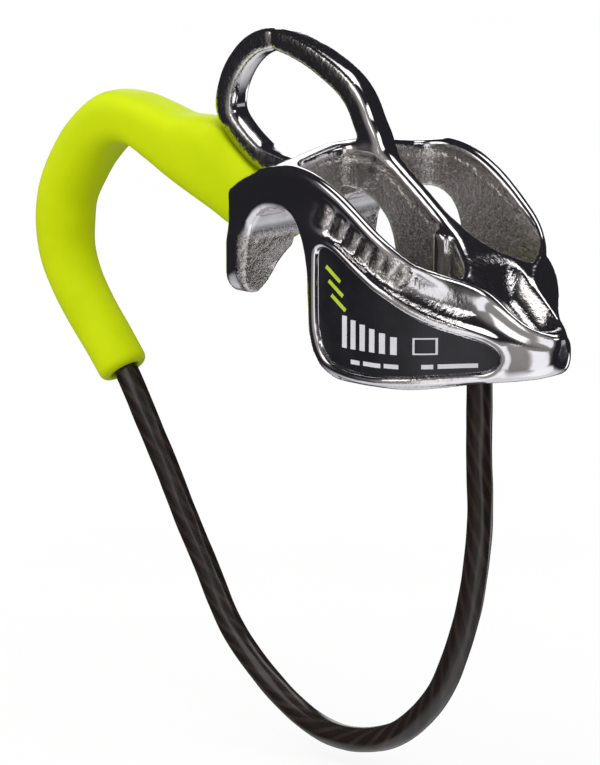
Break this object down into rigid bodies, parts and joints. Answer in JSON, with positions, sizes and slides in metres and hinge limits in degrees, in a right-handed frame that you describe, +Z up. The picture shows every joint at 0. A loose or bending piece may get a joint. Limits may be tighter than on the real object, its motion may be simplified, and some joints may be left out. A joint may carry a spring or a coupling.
{
  "type": "belay device",
  "caption": "Tube style belay device: polished steel body with two rope slots, thumb eye and nose, and a sprung cable loop in a green plastic sleeve.",
  "frame": {"origin": "on the flat underside of the middle web, between the two rope slots, in the middle of the width", "axes": "+X from the rear (sleeve) to the nose, +Y to the left side, +Z up out of the rope slots toward the thumb eye"},
  "size_m": [0.1006, 0.0354, 0.1033],
  "materials": {
    "steel": "polished stainless casting",
    "label": "matt dark printed inlay",
    "green": "satin moulded plastic",
    "jacket": "glossy tinted jacket",
    "wire": "twisted wire rope",
    "ferrule": "swaged ferrule"
  },
  "bodies": {
    "device_body": {"body": "steel", "label_left": "label", "label_right": "label", "jacket_nose_end": "jacket", "wire_nose_end": "wire", "nose_ferrule": "ferrule", "rear_ferrule": "ferrule"},
    "loop": {"sleeve": "green", "cable_jacket": "jacket", "wire_rope": "wire"}
  },
  "joints": [
    {"name": "loop_swing", "type": "hinge", "parent": "device_body", "child": "loop", "pos_m": [0.0053, 0, -0.0024], "axis": [0.8744, 0, -0.4852], "range_deg": [-18, 18], "stiffness_Nm_per_rad": 0.05}
  ]
}
